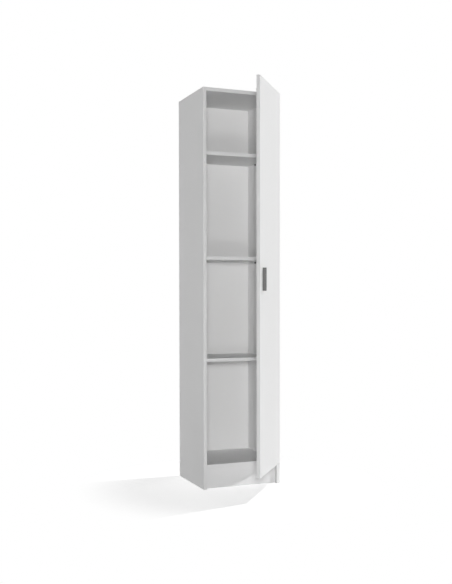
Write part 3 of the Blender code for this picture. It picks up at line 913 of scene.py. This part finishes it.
cam = camPattern(camSet)
camSpots = []
camNodes = []
for board, way in (("top", 1.0), ("bottom", -1.0)):
    for side, sign in (("left", -1.0), ("right", 1.0)):
        for row in ("front", "rear"):
            label = f"cam_connector_{board}_{side}_{row}"
            low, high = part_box(label)
            inner = high.x - camSet["radius"] if sign < 0 else low.x + camSet["radius"]
            face = high.z if way > 0 else low.z
            camSpots.append((
                Vector((inner, (low.y + high.y) / 2, face)), Vector((0.0, 0.0, way))
            ))
            camNodes.append(label)
boardCams = setOut("boardCams", cam, camSpots, "carcass", "zinc_alloy", seed=21)
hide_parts(*camNodes)
print("cams set out:", len(camSpots))

# Shelf pins: a peg in the side, a collar against it and a rest under the shelf

pinSet = {
    "peg": 2.5 * mm,
    "pegLength": 7.6 * mm,
    "rest": 3.5 * mm,
    "length": 7.7 * mm,
    "collar": 0.9 * mm,
    "round": 0.5 * mm,
}


def pinPattern(sizes):
    rest, peg, edge = sizes["rest"], sizes["peg"], sizes["round"]
    length, pegLength = sizes["length"], sizes["pegLength"]
    neck = rest - edge * 0.7
    profile = [
        (0.0, -pegLength),
        (peg - edge, -pegLength),
        (peg, edge - pegLength),
        (peg, 0.0),
        (rest - edge / 2, 0.0),
        (rest, edge / 2),
        (rest, sizes["collar"]),
        (neck, sizes["collar"] + edge * 0.5),
        (neck, length - 2 * edge),
        (rest - edge, length - edge),
        (rest - 2 * edge, length - edge / 4),
        (0.0, length),
    ]
    return turnedObject("pinPattern", profile)


pin = pinPattern(pinSet)
pinSpots = []
pinNodes = []
for shelf in ("lower", "middle", "upper"):
    for side, sign in (("left", 1.0), ("right", -1.0)):
        for row in ("front", "rear"):
            label = f"shelf_pin_{shelf}_{side}_{row}"
            pinSpots.append((middleOf(label), Vector((sign, 0.0, 0.0))))
            pinNodes.append(label)
shelfPins = setOut("shelfPins", pin, pinSpots, "carcass", "dark_steel", seed=31)
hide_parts(*pinNodes)
print("shelf pins set out:", len(pinSpots))

for pattern in (hingeScrew, handleScrew, bumper, cam, pin):
    bpy.data.objects.remove(pattern)

# Nails round the thin back sheet

nailSet = {
    "inset": 8.0 * mm,
    "spacing": 95.0 * mm,
    "radius": 2.1 * mm,
    "height": 0.6 * mm,
    "proud": 0.4,  # share of the height from the sheet to the head's middle
    "sides": 14,
    "crown": 0.82,
    "stray": 0.8 * mm,
    "seed": 7,
}


def backNails(sizes):
    low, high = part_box("back_panel")
    inset, spacing = sizes["inset"], sizes["spacing"]
    left, right = low.x + inset, high.x - inset
    foot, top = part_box("bottom_panel")[0].z + inset, high.z - inset
    depth = high.y + sizes["height"] * sizes["proud"]
    work = bmesh.new()
    runs = (
        ((left, foot), (left, top)),
        ((right, foot), (right, top)),
        ((left + spacing, top), (right - spacing, top)),
        ((left + spacing, foot), (right - spacing, foot)),
    )
    for first, last in runs:
        work.edges.new([work.verts.new((x, depth, z)) for x, z in (first, last)])
    piece = plainObject("backNails", finishedMesh("backNails", work))
    runTree(piece, nailRunTree, {
        "Finish": finishes["nickel_steel"],
        "Turn Seed": sizes["seed"],
        "Spacing": spacing,
        "Head Radius": sizes["radius"],
        "Head Height": sizes["height"],
        "Head Sides": sizes["sides"],
        "Crown Share": sizes["crown"],
        "Stray": sizes["stray"],
    })
    smoothed(piece)
    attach(piece, "carcass")


backNails(nailSet)
print("back nailed")

# Stage: a pale floor that keeps the cupboard's shadow, and a white world

floorSet = {
    "size": 40.0,
    "color": 0.8,
    "seenColor": 0.67,  # the camera sees this much of the floor's own shade
    "seenGlow": 0.64,
    "fadeFrom": 0.38,
    "fadeTo": 0.72,
    "centre": (-0.05, 0.0),
}


def showAndLight(tree, end, shown, lighting):
    # what the camera sees, also in a gloss or through glass, and what lights the cupboard
    rays = tree.nodes.new("ShaderNodeLightPath")
    seen = addMath(tree, "MAXIMUM", rays.outputs["Is Camera Ray"], rays.outputs["Is Glossy Ray"])
    seen = addMath(tree, "MAXIMUM", seen, rays.outputs["Is Transmission Ray"])
    both = addNode(tree, "ShaderNodeMixShader", [(0, seen), (1, lighting), (2, shown)])
    tree.links.new(both.outputs[0], end.inputs["Surface"])


def addFloor(settings):
    work = bmesh.new()
    bmesh.ops.create_grid(work, x_segments=1, y_segments=1, size=settings["size"] / 2)
    floor = plainObject("floor", finishedMesh("floor", work))
    made = bpy.data.materials.new("paleFloor")
    made.use_nodes = True
    tree = made.node_tree
    tree.nodes.clear()
    end = tree.nodes.new("ShaderNodeOutputMaterial")
    place = tree.nodes.new("ShaderNodeTexCoord")
    centre = (*settings["centre"], 0.0)
    offset = addVector(tree, "SUBTRACT", [(0, place.outputs["Object"]), (1, centre)])
    far = addVector(tree, "LENGTH", [(0, offset)], "Value")
    fade = addNode(
        tree,
        "ShaderNodeMapRange",
        [
            ("Value", far),
            ("From Min", settings["fadeFrom"]),
            ("From Max", settings["fadeTo"]),
            ("To Min", 0.0),
            ("To Max", 1.0),
        ],
        interpolation_type="SMOOTHSTEP",
    )
    shade, ownShade = (
        addNode(tree, "ShaderNodeBsdfDiffuse", [("Color", grey(settings[tone]))])
        for tone in ("color", "seenColor")
    )
    glow, white = (
        addNode(tree, "ShaderNodeEmission", [("Strength", strength)])
        for strength in (settings["seenGlow"], 1.0)
    )
    lit = addNode(tree, "ShaderNodeAddShader", [(0, ownShade.outputs[0]), (1, glow.outputs[0])])
    faded = addNode(
        tree,
        "ShaderNodeMixShader",
        [(0, fade.outputs["Result"]), (1, lit.outputs[0]), (2, white.outputs[0])],
    )
    showAndLight(tree, end, faded.outputs[0], shade.outputs[0])
    floor.data.materials.append(made)
    return floor


floorPiece = addFloor(floorSet)

worldSet = {"level": 0.08}


def addWorld(settings):
    world = bpy.data.worlds.new("paleStudio")
    bpy.context.scene.world = world
    world.use_nodes = True
    tree = world.node_tree
    tree.nodes.clear()
    end = tree.nodes.new("ShaderNodeOutputWorld")
    room, white = (
        addNode(tree, "ShaderNodeBackground", [("Color", grey(1.0)), ("Strength", strength)])
        for strength in (settings["level"], 1.0)
    )
    showAndLight(tree, end, white.outputs[0], room.outputs[0])


addWorld(worldSet)

lampTarget = Vector((0.0, 0.0, 0.9))
lampSet = {  # spread in degrees, as seen from the target
    "highRight": {"kind": "POINT", "from": (2.77, 0.28, 4.1), "level": 0.45, "spread": 1.0},
    "rightFront": {"kind": "SUN", "from": (3.15, -2.46, 2.83), "level": 0.38, "spread": 3.0},
    "besideCamera": {"kind": "POINT", "from": (-1.48, -3.85, 1.1), "level": 0.395, "spread": 7.0},
    "lowFront": {"kind": "POINT", "from": (-1.15, -2.8, 0.2), "level": 0.1, "spread": 10.0},
    "leftSide": {"kind": "SUN", "from": (-4.0, 3.0, 1.6), "level": 0.214, "spread": 20.0},
    "behind": {"kind": "SUN", "from": (0.15, 4.0, 1.3), "level": 0.36, "spread": 3.0},
}


def addLamps(settings, target):
    # a level is what a face square to the lamp gets, the same at every distance
    sunStrength, pointStrength = math.pi, 4 * math.pi ** 2  # for a level of 1
    lamps = {}
    for label, values in settings.items():
        data = bpy.data.lights.new(label, values["kind"])
        place = Vector(values["from"])
        spreadAngle = math.radians(values["spread"])
        if values["kind"] == "SUN":
            data.energy = values["level"] * sunStrength
            data.angle = spreadAngle
        else:
            data.energy = values["level"] * pointStrength
            data.shadow_soft_size = (place - target).length * math.tan(spreadAngle / 2)
            data.use_nodes = True
            tree = data.node_tree
            falloff = addNode(tree, "ShaderNodeLightFalloff", [("Strength", 1.0)])
            tree.links.new(
                falloff.outputs["Constant"], tree.nodes["Emission"].inputs["Strength"]
            )
        lamp = bpy.data.objects.new(label, data)
        bpy.context.scene.collection.objects.link(lamp)
        lamp.location = place
        lamp.rotation_euler = (target - place).to_track_quat("-Z", "Y").to_euler()
        lamps[label] = lamp
    return lamps


def keepOff(lamp, pieces):
    spared = bpy.data.collections.new("spared")
    for piece in pieces:
        spared.objects.link(piece)
    for member in spared.collection_objects:
        member.light_linking.link_state = "EXCLUDE"
    lamp.light_linking.receiver_collection = spared


lamps = addLamps(lampSet, lampTarget)
# in the photograph the floor shows one lamp's shadow only, and the left front edge is even
keepOff(lamps["rightFront"], [floorPiece, nodes["left_side_panel"], nodes["top_panel"]])
bpy.context.scene.view_settings.view_transform = "Standard"
print("stage lit")
